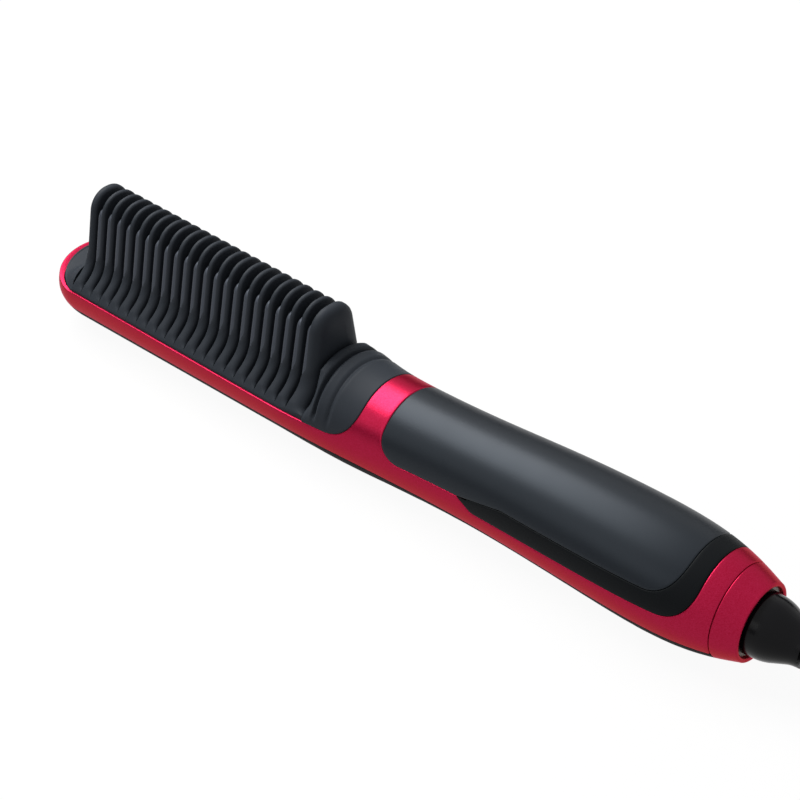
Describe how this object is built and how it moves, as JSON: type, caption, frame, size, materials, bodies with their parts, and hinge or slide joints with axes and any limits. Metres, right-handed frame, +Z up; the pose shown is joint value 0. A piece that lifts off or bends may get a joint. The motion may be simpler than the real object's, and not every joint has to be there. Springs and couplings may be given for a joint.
{
  "type": "heated straightening comb",
  "caption": "Mains heated straightening comb with a long ribbed comb over heating fins, a red two-part casing, a dark grip cover, a small control panel underneath and a swivelling lead.",
  "frame": {"origin": "middle of the body's footprint on the surface it lies on, lead left out", "axes": "+X along the body towards the lead, +Z up through the comb's teeth, +Y across"},
  "size_m": [0.5496, 0.0384, 0.0473],
  "materials": {
    "red_casing": "pearl red gloss",
    "dark_cover": "fine satin",
    "black_back": "satin",
    "black_comb": "satin",
    "black_inlay": "soft matte",
    "heater_metal": "coated satin",
    "plain_metal": "brushed",
    "ceramic_bar": "matt ceramic",
    "mica": "matt",
    "steel": "plain",
    "fuse_white": "matt",
    "wire_white": "matt",
    "gloss_black": "gloss",
    "smoked_lens": "clear smoked",
    "display": "matt",
    "board_green": "solder mask",
    "component_black": "matt",
    "button_grey": "satin",
    "bush_white": "matt",
    "brass": "plain",
    "cord_black": "satin",
    "tie_black": "matt"
  },
  "bodies": {
    "casing": {"main_casing": "red_casing", "back_cover": "black_back", "comb_cover": "black_comb", "heating_plate": "heater_metal", "heater_elements": "ceramic_bar", "mica_sheet": "mica", "clamp_plate": "plain_metal", "heater_carrier": "black_back", "heater_screws": "steel", "thermal_fuse": "fuse_white", "temperature_sensor": "fuse_white", "heater_leads": "wire_white", "handle_cover": "dark_cover", "grip_inlay": "black_inlay", "end_collar": "red_casing", "control_panel": "gloss_black", "display_lens": "smoked_lens", "display_module": "display", "circuit_board": "board_green", "board_components": "component_black", "tact_switches": "component_black", "pcb_screws": "steel", "casing_screws": "steel", "mains_leads": "wire_white", "swivel_bush": "bush_white", "contact_block": "component_black", "contact_springs": "brass"},
    "minus_button": {"minus_button": "button_grey"},
    "plus_button": {"plus_button": "button_grey"},
    "power_button": {"power_button": "button_grey"},
    "swivel": {"strain_relief": "gloss_black", "swivel_clip": "steel", "slip_rings": "brass", "power_cord": "cord_black", "cord_coil": "cord_black", "coil_tie": "tie_black", "plug_lead": "cord_black", "plug_body": "cord_black", "plug_pins": "brass"}
  },
  "joints": [
    {"name": "minus_button_press", "type": "slide", "parent": "casing", "child": "minus_button", "axis": [0, 0, 1], "range_m": [0, 0.0007], "stiffness_N_per_m": 600},
    {"name": "plus_button_press", "type": "slide", "parent": "casing", "child": "plus_button", "axis": [0, 0, 1], "range_m": [0, 0.0007], "stiffness_N_per_m": 600},
    {"name": "power_button_press", "type": "slide", "parent": "casing", "child": "power_button", "axis": [0, 0, 1], "range_m": [0, 0.0007], "stiffness_N_per_m": 600},
    {"name": "cord_swivel", "type": "hinge", "parent": "casing", "child": "swivel", "pos_m": [0.125, 0, 0.015], "axis": [1, 0, 0], "continuous": true}
  ]
}
